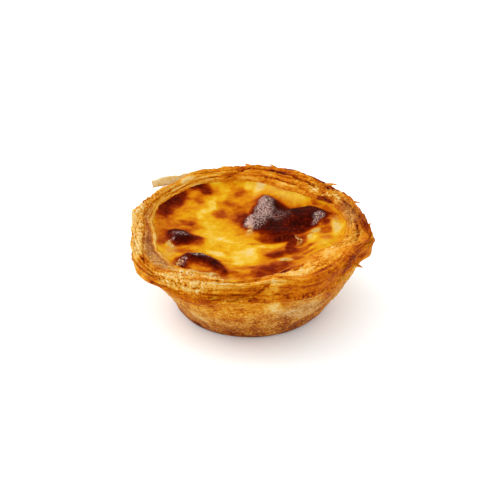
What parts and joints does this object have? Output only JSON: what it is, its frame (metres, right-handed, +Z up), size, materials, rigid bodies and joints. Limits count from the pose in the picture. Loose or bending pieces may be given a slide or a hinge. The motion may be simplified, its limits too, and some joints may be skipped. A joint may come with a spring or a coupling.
{
  "type": "portuguese custard tart",
  "caption": "Small round open tart: a flared, flaky pastry case with a thick layered rim, filled with baked custard that is scorched in patches.",
  "frame": {"origin": "centre of the flat base, on the surface that the tart rests on", "axes": "+Z up out of the custard, -Y towards the front of the tart, +X to its right, where the rim is pinched to a blunt point"},
  "size_m": [0.0783, 0.0773, 0.0294],
  "materials": {
    "pastry": "baked flaky pastry, golden to caramel brown, darker along the edges of its layers",
    "custard": "glossy baked custard, yellow, browned and scorched almost black in raised patches"
  },
  "bodies": {
    "root": {"pastry_case": "pastry", "custard": "custard"}
  },
  "joints": []
}
